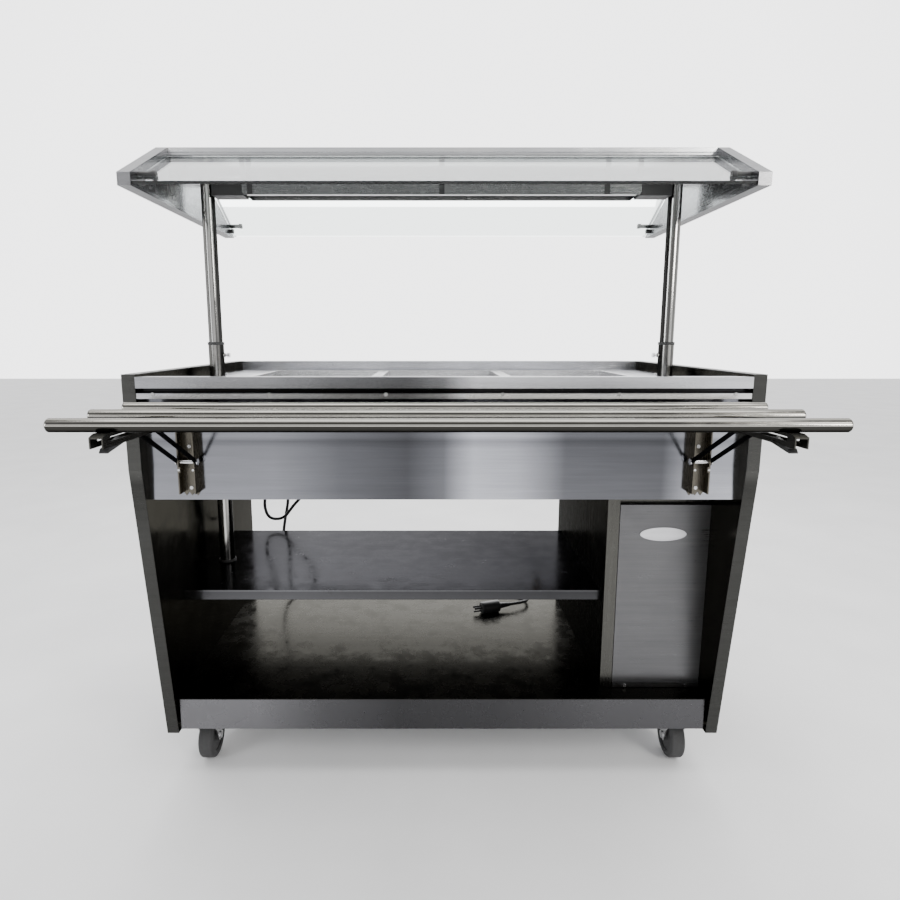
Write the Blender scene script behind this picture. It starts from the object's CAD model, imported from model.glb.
"""Looks of the steam table unit: brushed and polished steel, glass, rubber and plastic materials, the
free power cord, and a plain studio. Metres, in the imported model's frame."""

import bpy
import math
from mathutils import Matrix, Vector


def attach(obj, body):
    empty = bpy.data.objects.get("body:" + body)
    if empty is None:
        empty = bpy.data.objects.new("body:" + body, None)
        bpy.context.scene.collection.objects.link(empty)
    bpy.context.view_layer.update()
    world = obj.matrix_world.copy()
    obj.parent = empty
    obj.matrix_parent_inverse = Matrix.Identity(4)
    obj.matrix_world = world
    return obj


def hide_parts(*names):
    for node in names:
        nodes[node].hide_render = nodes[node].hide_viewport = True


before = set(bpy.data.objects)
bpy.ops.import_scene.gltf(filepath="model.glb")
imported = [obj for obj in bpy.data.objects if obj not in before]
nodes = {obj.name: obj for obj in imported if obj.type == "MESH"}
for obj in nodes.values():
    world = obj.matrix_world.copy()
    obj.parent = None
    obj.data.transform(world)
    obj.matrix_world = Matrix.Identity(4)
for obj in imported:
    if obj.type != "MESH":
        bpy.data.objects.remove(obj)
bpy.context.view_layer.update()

# Levels and depths of the unit, in the row's frame
FRONT_Y = -0.2
RIM_Z = 0.914
RIM_FACE_DEPTH = 0.024
STRIP_ZONE_DROP = 0.06
APRON_BOTTOM_Z = 0.70
APRON_TOP_Z = 0.87
SHELF_Z = RIM_Z - 0.496
SHELF_LIP = 0.0225
KICK_TOP_Z = 0.194
ROOF_Z = RIM_Z + 0.467
ROOF_ZONE = 0.027
CABINET_HALF = 0.6
MILLIMETRE = 0.001


def spot(x, depth, height):
    """A point given by millimetres across, behind the counter's front edge and above its rim."""
    return Vector((x * MILLIMETRE, FRONT_Y + depth * MILLIMETRE, RIM_Z + height * MILLIMETRE))


# ---------------------------------------------------------------- camera
CAMERA_PITCH = 9.4

camera = bpy.data.objects.new("camera", bpy.data.cameras.new("camera"))
bpy.context.scene.collection.objects.link(camera)
bpy.context.scene.camera = camera
camera.data.sensor_width = 36.0
camera.data.lens = 25.0
camera.data.shift_x = 0.0217
camera.data.shift_y = -0.0094
camera.data.clip_start = 0.02
camera.location = spot(-26.0, -1181.9, 67.4)
camera.rotation_euler = (math.radians(90 - CAMERA_PITCH), 0, 0)


# ---------------------------------------------------------------- cord
CORD_DIAMETER = 0.009
CORD_ROUTE = [
    (-500.0, 640.0, -300.0),
    (-500.0, 640.0, -338.0),
    (-516.0, 640.0, -383.0),
    (-527.0, 641.0, -428.0),
    (-514.0, 642.0, -471.0),
    (-469.0, 643.0, -471.5),
    (-440.0, 643.0, -431.0),
    (-408.0, 643.0, -397.0),
    (-379.0, 645.0, -354.0),
    (-380.0, 647.0, -303.0),
    (-402.0, 650.0, -271.0),
    (-439.0, 653.0, -268.0),
    (-461.0, 656.0, -301.0),
    (-460.0, 658.0, -352.0),
    (-456.0, 660.0, -415.0),
    (-469.0, 661.0, -474.0),
    (-478.0, 660.0, -536.0),
    (-484.0, 658.0, -608.0),
    (-478.0, 657.0, -672.0),
    (-452.0, 658.0, -708.5),
    (-404.0, 662.0, -714.5),
    (-322.0, 670.0, -714.5),
    (-232.0, 660.0, -714.5),
    (-136.0, 668.0, -714.5),
    (-40.0, 655.0, -714.5),
    (56.0, 664.0, -714.5),
    (142.0, 676.0, -714.5),
    (212.0, 668.0, -714.5),
    (257.0, 634.0, -711.0),
    (269.0, 591.0, -706.0),
    (244.0, 560.0, -702.0),
    (206.0, 548.0, -702.0),
]


def cord_curve(name, points, diameter):
    """A round cord on one smooth spline through the route's control points."""
    curve = bpy.data.curves.new(name, "CURVE")
    curve.dimensions = "3D"
    curve.bevel_depth = diameter / 2
    curve.bevel_resolution = 6
    curve.resolution_u = 10
    curve.use_fill_caps = True
    spline = curve.splines.new("NURBS")
    spline.points.add(len(points) - 1)
    for point, at in zip(spline.points, points):
        point.co = (*at, 1.0)
    spline.order_u = 3
    spline.use_endpoint_u = True
    obj = bpy.data.objects.new(name, curve)
    bpy.context.scene.collection.objects.link(obj)
    return obj


# ---------------------------------------------------------------- material helpers
class Nodes:
    """Small helper that adds shader nodes to one material."""

    def __init__(self, name):
        self.material = bpy.data.materials.new(name)
        self.material.use_nodes = True
        self.tree = self.material.node_tree
        self.shader = self.tree.nodes["Principled BSDF"]

    def add(self, kind, **values):
        node = self.tree.nodes.new(kind)
        for key, value in values.items():
            if hasattr(node, key) and key not in node.inputs:
                setattr(node, key, value)
            else:
                node.inputs[key].default_value = value
        return node

    def link(self, out, into):
        self.tree.links.new(out, into)

    def place(self, scale):
        """Row-frame coordinates, scaled along each axis."""
        coordinates = self.add("ShaderNodeTexCoord")
        mapping = self.add("ShaderNodeMapping")
        mapping.inputs["Scale"].default_value = scale
        self.link(coordinates.outputs["Object"], mapping.inputs["Vector"])
        return mapping.outputs["Vector"]

    def noise(self, scale, detail=3.0, roughness=0.5):
        noise = self.add("ShaderNodeTexNoise", Detail=detail, Roughness=roughness)
        noise.inputs["Scale"].default_value = 1.0
        self.link(self.place(scale), noise.inputs["Vector"])
        return noise.outputs["Fac"]

    def ramp(self, fac, stops):
        ramp = self.add("ShaderNodeValToRGB")
        elements = ramp.color_ramp.elements
        while len(elements) < len(stops):
            elements.new(0.5)
        for element, (at, colour) in zip(elements, stops):
            element.position = at
            element.color = (*colour, 1.0)
        self.link(fac, ramp.inputs["Fac"])
        return ramp.outputs["Color"]

    def mix(self, first, second, amount=0.5, mode="MIX"):
        mix = self.add("ShaderNodeMix", data_type="RGBA", blend_type=mode)
        if isinstance(amount, float):
            mix.inputs["Factor"].default_value = amount
        else:
            self.link(amount, mix.inputs["Factor"])
        for value, socket in ((first, mix.inputs[6]), (second, mix.inputs[7])):
            if isinstance(value, tuple):
                socket.default_value = (*value, 1.0)
            else:
                self.link(value, socket)
        return mix.outputs[2]

    def span(self, fac, low, high):
        remap = self.add("ShaderNodeMapRange")
        remap.inputs["From Min"].default_value = 0.3
        remap.inputs["From Max"].default_value = 0.7
        remap.inputs["To Min"].default_value = low
        remap.inputs["To Max"].default_value = high
        self.link(fac, remap.inputs["Value"])
        return remap.outputs["Result"]

    def axis(self, kind, axis, low, high):
        """One component of the row-frame place or normal, spread over 0 to 1."""
        coordinates = self.add("ShaderNodeTexCoord")
        apart = self.add("ShaderNodeSeparateXYZ")
        self.link(coordinates.outputs[kind], apart.inputs["Vector"])
        remap = self.add("ShaderNodeMapRange")
        remap.inputs["From Min"].default_value = low
        remap.inputs["From Max"].default_value = high
        self.link(apart.outputs[axis], remap.inputs["Value"])
        return remap.outputs["Result"]

    def grey(self, fac, stops):
        return self.ramp(fac, [(at, (value, value, value)) for at, value in stops])

    def drifted(self, colour, drifts):
        """The colour, dimmed or lifted along each drift."""
        for kind, axis, start, end, stops in drifts:
            colour = self.mix(colour, self.grey(self.axis(kind, axis, start, end), stops), 1.0, "MULTIPLY")
        return colour

    def where(self, base, drifts, zone):
        """The base with its drifts, kept to one zone of the piece where a zone is given."""
        drifted = self.drifted(base, drifts)
        if zone is None:
            return drifted
        axis, start, end = zone
        return self.mix(drifted, base, self.axis("Object", axis, start, end))

    def bump(self, height, strength, distance):
        bump = self.add("ShaderNodeBump", Strength=strength, Distance=distance)
        self.link(height, bump.inputs["Height"])
        self.link(bump.outputs["Normal"], self.shader.inputs["Normal"])

    def set(self, **values):
        for key, value in values.items():
            self.shader.inputs[key.replace("_", " ")].default_value = value


GRAIN_FINE = 900.0
GRAIN_LONG = 5.0


def grain_scale(along, fine=GRAIN_FINE):
    """Noise scale that draws hairlines along one axis."""
    return tuple(GRAIN_LONG if axis == along else fine for axis in "XYZ")


def steel(name, tone, along="X", rough=(0.18, 0.36), smudge=0.35, strength=0.08, drifts=(), edge=0.5,
          zone=None):
    """Brushed stainless sheet: hairlines along one axis, slow stains, and a little wear."""
    n = Nodes(name)
    low, high = rough
    dark = tuple(c * 0.78 for c in tone)
    pale = tuple(min(1.0, c * 1.2) for c in tone)
    hair = n.noise(grain_scale(along), 4.0, 0.6)
    band = n.noise(grain_scale(along, 90.0), 3.0, 0.55)
    cloud = n.noise((2.6, 2.6, 2.6), 5.0, 0.6)
    lines = n.ramp(hair, [(0.3, dark), (0.5, tone), (0.72, pale)])
    bands = n.ramp(band, [(0.3, dark), (0.55, tone), (0.75, pale)])
    base = n.mix(lines, bands, 0.45)
    stained = n.mix(base, n.ramp(cloud, [(0.35, dark), (0.6, tone)]), smudge)
    n.link(n.where(stained, drifts, zone), n.shader.inputs["Base Color"])
    wear = n.noise((14.0, 14.0, 14.0), 6.0, 0.7)
    gloss = n.mix(n.grey(hair, [(0.3, low), (0.7, high)]), n.grey(wear, [(0.35, low), (0.7, high)]), 0.5)
    n.link(gloss, n.shader.inputs["Roughness"])
    n.bump(hair, strength, 0.0006)
    n.set(Metallic=1.0, Anisotropic=0.4, Specular_Tint=(edge, edge, edge, 1.0))
    return n.material


def polished(name, tone, along="X", rough=0.09, edge=0.5, waves=5.0, drifts=(), below=None):
    """Bright rolled steel: nearly a mirror, slightly wavy, with faint hairlines."""
    n = Nodes(name)
    dark = tuple(c * 0.8 for c in tone)
    hair = n.noise(grain_scale(along, 700.0), 3.0, 0.5)
    wave = n.noise((waves, waves, waves), 2.0, 0.5)
    base = n.mix(n.ramp(hair, [(0.3, dark), (0.65, tone)]), n.ramp(wave, [(0.3, dark), (0.7, tone)]), 0.5)
    base = n.drifted(base, drifts)
    if below:
        level, lower_tone, lower_drifts = below
        lower = n.axis("Object", "Z", level, level - MILLIMETRE)
        base = n.mix(base, n.drifted(lower_tone, lower_drifts), lower)
    n.link(base, n.shader.inputs["Base Color"])
    patches = n.noise((22.0, 22.0, 22.0), 5.0, 0.65)
    n.link(n.span(patches, rough * 0.6, rough * 1.9), n.shader.inputs["Roughness"])
    n.bump(hair, 0.03, 0.0004)
    n.set(Metallic=1.0, Specular_Tint=(edge, edge, edge, 1.0))
    return n.material


def rail(name, axis, stops, tone, along, rough=0.12):
    """Round rolled tube: bright and dark bands run along it, as a room mirrors in it."""
    bands = ("Normal", axis, -1.0, 1.0, stops)
    return polished(name, tone, along, rough, edge=0.4, waves=8.0, drifts=[bands])


def speckled(name, dark, pale, scale, rough, metallic=0.0, bump=0.15, coat=0.0):
    """A moulded or cast surface: two tones, fine grain and uneven gloss."""
    n = Nodes(name)
    fine = n.noise((scale, scale, scale), 5.0, 0.6)
    slow = n.noise((scale / 30, scale / 30, scale / 30), 4.0, 0.6)
    n.link(n.mix(n.ramp(fine, [(0.3, dark), (0.7, pale)]), n.ramp(slow, [(0.3, dark), (0.7, pale)]), 0.5),
           n.shader.inputs["Base Color"])
    n.link(n.span(slow, rough * 0.75, min(1.0, rough * 1.3)), n.shader.inputs["Roughness"])
    n.bump(fine, bump, 0.0005)
    n.set(Metallic=metallic, Coat_Weight=coat)
    return n.material


def spangled(name, dark, pale, rough):
    """Galvanised sheet with its crystal spangle."""
    n = Nodes(name)
    cells = n.add("ShaderNodeTexVoronoi")
    cells.inputs["Scale"].default_value = 1.0
    n.link(n.place((90.0, 90.0, 90.0)), cells.inputs["Vector"])
    grey = n.add("ShaderNodeRGBToBW")
    n.link(cells.outputs["Color"], grey.inputs["Color"])
    n.link(n.ramp(grey.outputs["Val"], [(0.2, dark), (0.8, pale)]), n.shader.inputs["Base Color"])
    n.link(n.span(grey.outputs["Val"], rough * 0.7, rough * 1.3), n.shader.inputs["Roughness"])
    n.bump(n.noise((160.0, 160.0, 160.0), 4.0, 0.6), 0.1, 0.0005)
    n.set(Metallic=1.0)
    return n.material


CUT_EDGE_TURN = 0.7


def pane(name, tint, edge):
    """Clear tempered glass whose cut edges look green."""
    n = Nodes(name)
    coordinates = n.add("ShaderNodeTexCoord")
    apart = n.add("ShaderNodeSeparateXYZ")
    n.link(coordinates.outputs["Normal"], apart.inputs["Vector"])
    either = n.add("ShaderNodeMath", operation="MAXIMUM")
    for index, axis in enumerate("XY"):
        turned = n.add("ShaderNodeMath", operation="ABSOLUTE")
        n.link(apart.outputs[axis], turned.inputs[0])
        n.link(turned.outputs[0], either.inputs[index])
    rim = n.add("ShaderNodeMath", operation="GREATER_THAN")
    rim.inputs[1].default_value = CUT_EDGE_TURN
    n.link(either.outputs[0], rim.inputs[0])
    n.link(n.mix(tint, edge, rim.outputs[0]), n.shader.inputs["Base Color"])
    n.link(n.span(n.noise((6.0, 6.0, 6.0), 5.0, 0.7), 0.0, 0.03), n.shader.inputs["Roughness"])
    n.set(Transmission_Weight=1.0, IOR=1.45)
    return n.material


# A drift is (coordinate kind, axis, start, end, stops): the tone's factor at places from 0 to 1 along it
ACROSS = ("Object", "X", -CABINET_HALF, CABINET_HALF)
FRONT_DRIFT = (*ACROSS, [(0.04, 0.55), (0.22, 0.50), (0.33, 0.26), (0.44, 0.16), (0.50, 0.32),
                         (0.55, 1.15), (0.62, 1.05), (0.75, 0.85), (0.92, 1.15)])
APRON_DRIFT = (*ACROSS, [(0.04, 0.50), (0.22, 0.46), (0.33, 0.24), (0.44, 0.15), (0.50, 0.30), (0.55, 1.0),
                         (0.62, 0.80), (0.70, 0.24), (0.86, 0.20), (0.92, 0.70), (1.0, 0.8)])
KICK_DRIFT = (*ACROSS, [(0.0, 0.9), (0.16, 1.0), (0.28, 0.55), (0.42, 0.32), (0.6, 0.36), (0.8, 0.55),
                        (1.0, 0.5)])
SHELF_DRIFT = (*ACROSS, [(0.0, 0.6), (0.2, 1.0), (0.45, 0.8), (0.7, 0.5), (0.85, 0.5)])
FLOOR_DRIFT = ("Object", "Y", FRONT_Y + 0.1, FRONT_Y + 0.7,
               [(0.0, 0.25), (0.4, 0.45), (0.75, 0.85), (1.0, 1.1)])
STRIP_GAP = ("Object", "Z", RIM_Z - STRIP_ZONE_DROP, RIM_Z,
             [(0.0, 1.3), (0.385, 1.3), (0.405, 0.03), (1.0, 0.03)])
APRON_BANDS = ("Object", "Z", APRON_BOTTOM_Z, APRON_TOP_Z,
               [(0.0, 1.0), (0.40, 1.05), (0.48, 0.75), (0.54, 1.25), (0.64, 1.1), (0.72, 0.8), (0.9, 0.7)])
SHELF_RIM = ("Object", "Z", SHELF_Z - SHELF_LIP, SHELF_Z,
             [(0.0, 0.6), (0.10, 1.1), (0.84, 0.9), (0.90, 2.2), (1.0, 1.0)])
SIDE_DRIFT = ("Object", "Z", 0.1, 0.92, [(0.0, 0.75), (0.6, 0.8), (0.73, 0.62), (0.77, 1.25), (1.0, 1.3)])
LIP_DRIFT = ("Object", "Z", ROOF_Z - ROOF_ZONE, ROOF_Z, [(0.0, 0.8), (0.55, 0.8), (0.66, 1.15), (1.0, 1.15)])

# Where the front rim's drift stops, and the level under which the kick face has its own look
FRONT_FACE = ("Y", FRONT_Y + RIM_FACE_DEPTH, FRONT_Y + RIM_FACE_DEPTH + 6 * MILLIMETRE)
KICK = (KICK_TOP_Z, (0.155, 0.154, 0.162), [KICK_DRIFT])

# Bands round a tube, from its underside to its top, and round a post, from its left to its right
TUBE_BANDS = [(0.0, 0.01), (0.30, 0.05), (0.42, 0.06), (0.46, 0.015), (0.49, 0.95), (0.60, 1.0),
              (0.64, 0.30), (0.69, 0.04), (0.74, 0.34), (0.84, 0.42), (0.90, 0.24), (0.94, 0.70), (1.0, 0.28)]
POST_BANDS = [(0.0, 0.03), (0.12, 0.05), (0.2, 0.5), (0.3, 0.3), (0.42, 0.18), (0.5, 0.9), (0.62, 1.0),
              (0.7, 0.25), (0.82, 0.5), (0.9, 0.06), (1.0, 0.03)]

look = {
    "panel": steel("panel_steel", (0.057, 0.057, 0.054), rough=(0.22, 0.4), drifts=[SIDE_DRIFT]),
    "liner": polished("liner_steel", (0.062, 0.060, 0.053), "Z", rough=0.14, edge=0.40),
    "top": steel("top_steel", (0.84, 0.85, 0.89), rough=(0.16, 0.3), drifts=[FRONT_DRIFT], zone=FRONT_FACE),
    "well": steel("well_steel", (0.90, 0.90, 0.91), rough=(0.2, 0.34), smudge=0.3),
    "strip": steel("strip_steel", (0.90, 0.91, 0.95), rough=(0.16, 0.3), drifts=[FRONT_DRIFT, STRIP_GAP]),
    "apron": steel("apron_steel", (0.50, 0.51, 0.56), rough=(0.08, 0.2), smudge=0.3, strength=0.05,
                   drifts=[APRON_DRIFT, APRON_BANDS]),
    "shelf": polished("shelf_steel", (0.085, 0.085, 0.090), rough=0.15, edge=0.40, waves=1.4,
                      drifts=[SHELF_DRIFT, SHELF_RIM]),
    "floor": polished("floor_steel", (0.105, 0.103, 0.095), rough=0.20, edge=0.40, waves=1.2,
                      drifts=[FLOOR_DRIFT], below=KICK),
    "cover": steel("cover_steel", (0.12, 0.12, 0.124), rough=(0.24, 0.42)),
    "divider": steel("divider_steel", (0.075, 0.074, 0.068), "Z", rough=(0.2, 0.34), edge=0.25),
    "tube": rail("tube_steel", "Z", TUBE_BANDS, (0.70, 0.68, 0.62), "X"),
    "post": rail("post_steel", "X", POST_BANDS, (0.80, 0.79, 0.76), "Z", rough=0.1),
    "guide": rail("guide_steel", "X", POST_BANDS, (0.62, 0.61, 0.58), "Z", rough=0.14),
    "canopy": steel("canopy_steel", (0.34, 0.34, 0.35), "Y", rough=(0.18, 0.32)),
    "roof": steel("roof_steel", (0.87, 0.88, 0.90), rough=(0.18, 0.3), drifts=[LIP_DRIFT]),
    "lamp": steel("lamp_steel", (0.20, 0.20, 0.20), rough=(0.2, 0.34)),
    "bracket": steel("bracket_steel", (0.13, 0.12, 0.10), "Z", rough=(0.2, 0.36), edge=0.3),
    "black_steel": steel("dark_plated_steel", (0.03, 0.03, 0.032), "Y", rough=(0.26, 0.42), edge=0.15),
    "arm": steel("arm_steel", (0.085, 0.083, 0.075), "Y", rough=(0.22, 0.38), edge=0.3),
    "galvanised": spangled("galvanised_steel", (0.30, 0.31, 0.32), (0.55, 0.56, 0.58), 0.38),
    "zinc": speckled("zinc_plate", (0.50, 0.50, 0.50), (0.75, 0.75, 0.76),
                      400.0, 0.24, metallic=1.0, bump=0.05),
    "black": speckled("black_moulding", (0.012, 0.012, 0.012), (0.03, 0.03, 0.03), 1400.0, 0.5),
    "grey": speckled("grey_moulding", (0.05, 0.05, 0.055), (0.10, 0.10, 0.11), 1200.0, 0.55),
    "cord": speckled("cord_jacket", (0.010, 0.010, 0.011), (0.028, 0.028, 0.03), 900.0, 0.42, bump=0.12),
    "tyre": speckled("tyre_rubber", (0.02, 0.02, 0.021), (0.06, 0.06, 0.06), 500.0, 0.75, bump=0.3),
    "iron": speckled("heater_iron", (0.05, 0.05, 0.05), (0.12, 0.12, 0.12),
                      300.0, 0.7, metallic=1.0, bump=0.3),
    "fibre": speckled("fibre_pad", (0.55, 0.53, 0.47), (0.80, 0.78, 0.72), 700.0, 0.95, bump=0.6),
    "brass": speckled("valve_brass", (0.45, 0.30, 0.10), (0.72, 0.52, 0.22),
                      300.0, 0.3, metallic=1.0, bump=0.08),
    "red": speckled("red_grip", (0.35, 0.02, 0.02), (0.60, 0.05, 0.04), 600.0, 0.4, bump=0.1, coat=0.3),
    "lens": speckled("red_lens", (0.50, 0.02, 0.01), (0.85, 0.08, 0.05), 200.0, 0.12, bump=0.05, coat=0.6),
    "bulb": speckled("lamp_tube_glass", (0.75, 0.75, 0.72), (0.95, 0.95, 0.93), 120.0, 0.2,
                      bump=0.02, coat=0.4),
    "badge": steel("badge_plate", (0.62, 0.62, 0.64), rough=(0.24, 0.4), smudge=0.2),
    "glass": pane("pane_glass", (0.93, 0.98, 0.965), (0.30, 0.62, 0.52)),
}

FINISH = {
    "side_panels": "panel", "side_liners": "liner", "counter_top": "top", "front_trim_strip": "strip",
    "panel_screws": "zinc", "front_apron": "apron", "rear_apron": "panel", "housing_floor": "galvanised",
    "heated_wells": "well", "heating_plates": "iron", "insulation_pads": "fibre", "drain_pipes": "brass",
    "drain_lever": "red", "undershelf": "shelf", "divider": "divider", "compartment_cover": "cover",
    "bottom_shelf": "floor", "caster_rails": "galvanised", "maker_badge": "badge",
    "control_panel": "panel", "thermostats": "grey", "pilot_lights": "lens", "post_guides": "guide",
    "guide_rings": "black", "bracket_channels": "bracket", "bracket_pins": "zinc",
    "caster_plates": "zinc", "caster_bolts": "zinc",
    "cord_gland": "black", "power_plug": "cord", "power_cord": "cord",
    "canopy_ends": "canopy", "canopy_roof": "roof", "glass_panes": "glass", "glass_pegs": "black",
    "lamp_housing": "lamp", "lamp_tube": "bulb", "lamp_mounts": "black", "canopy_posts": "post",
    "thumbscrew_left": "zinc", "thumbscrew_right": "zinc", "tray_tubes": "tube", "tray_arms": "arm",
    "tray_brace_left": "black_steel", "tray_brace_right": "black_steel",
    "tray_latch_left": "black", "tray_latch_right": "black",
    "knob_left": "black", "knob_centre": "black", "knob_right": "black",
}
for corner in ("front_left", "front_right", "rear_left", "rear_right"):
    FINISH["caster_fork_" + corner] = "zinc"
    FINISH["caster_wheel_" + corner] = "tyre"
    FINISH["brake_pedal_" + corner] = "grey"
for name, node in nodes.items():
    node.data.materials.clear()
    node.data.materials.append(look[FINISH[name]])

cord = cord_curve("power_cord_jacket", [spot(*p) for p in CORD_ROUTE], CORD_DIAMETER)
cord.data.materials.append(look["cord"])
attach(cord, "cabinet")
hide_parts("power_cord")


# ---------------------------------------------------------------- studio
def area_light(name, at, look_at, size, size_y, power, tint=(1, 1, 1)):
    """A soft rectangular light aimed at a point."""
    data = bpy.data.lights.new(name, "AREA")
    data.shape = "RECTANGLE"
    data.size, data.size_y = size, size_y
    data.energy = power
    data.color = tint
    light = bpy.data.objects.new(name, data)
    bpy.context.scene.collection.objects.link(light)
    light.location = at
    light.rotation_euler = (Vector(look_at) - Vector(at)).to_track_quat("-Z", "Y").to_euler()
    return light


FLOOR_REACH = 14.0
WORLD_STRENGTH = 2.2
WORLD_STOPS = ((0.0, 0.28), (0.5, 0.40), (0.72, 1.0), (0.92, 1.7))


def studio_floor():
    """A wide pale floor."""
    mesh = bpy.data.meshes.new("floor")
    corners = [(x * FLOOR_REACH, y * FLOOR_REACH, 0) for x, y in ((-1, -1), (1, -1), (1, 1), (-1, 1))]
    mesh.from_pydata(corners, [], [(0, 1, 2, 3)])
    floor = bpy.data.objects.new("floor", mesh)
    bpy.context.scene.collection.objects.link(floor)
    n = Nodes("floor_paint")
    cloud = n.noise((3.0, 3.0, 3.0), 3.0, 0.5)
    n.link(n.grey(cloud, [(0.3, 0.80), (0.7, 0.86)]), n.shader.inputs["Base Color"])
    n.set(Roughness=0.85)
    mesh.materials.append(n.material)


def studio_world():
    """Bright behind the unit, dim in front of it, so that its front reflects a quiet room."""
    world = bpy.data.worlds.new("studio")
    bpy.context.scene.world = world
    world.use_nodes = True
    tree = world.node_tree
    background = tree.nodes["Background"]
    coordinates = tree.nodes.new("ShaderNodeTexCoord")
    apart = tree.nodes.new("ShaderNodeSeparateXYZ")
    tree.links.new(coordinates.outputs["Generated"], apart.inputs["Vector"])
    ramp = tree.nodes.new("ShaderNodeValToRGB")
    remap = tree.nodes.new("ShaderNodeMapRange")
    remap.inputs["From Min"].default_value = -1.0
    remap.inputs["From Max"].default_value = 1.0
    tree.links.new(apart.outputs["Y"], remap.inputs["Value"])
    tree.links.new(remap.outputs["Result"], ramp.inputs["Fac"])
    elements = ramp.color_ramp.elements
    elements.new(0.5)
    elements.new(0.9)
    for element, (at, value) in zip(elements, WORLD_STOPS):
        element.position = at
        element.color = (value, value, value * 1.01, 1.0)
    tree.links.new(ramp.outputs["Color"], background.inputs["Color"])
    background.inputs["Strength"].default_value = WORLD_STRENGTH


studio_floor()
studio_world()
area_light("ceiling", (0.0, -0.6, 3.0), (0, 0, 0.9), 3.4, 1.2, 60)
area_light("key", (2.4, -2.6, 2.2), (0.2, 0, 0.7), 0.9, 1.8, 70, (1.0, 0.98, 0.95))
area_light("fill", (-2.8, -2.2, 1.6), (-0.2, 0, 0.7), 0.7, 1.6, 35, (0.95, 0.97, 1.0))
area_light("back", (0.0, 2.8, 2.4), (0, 0, 1.0), 3.0, 1.2, 40)

bpy.context.view_layer.update()
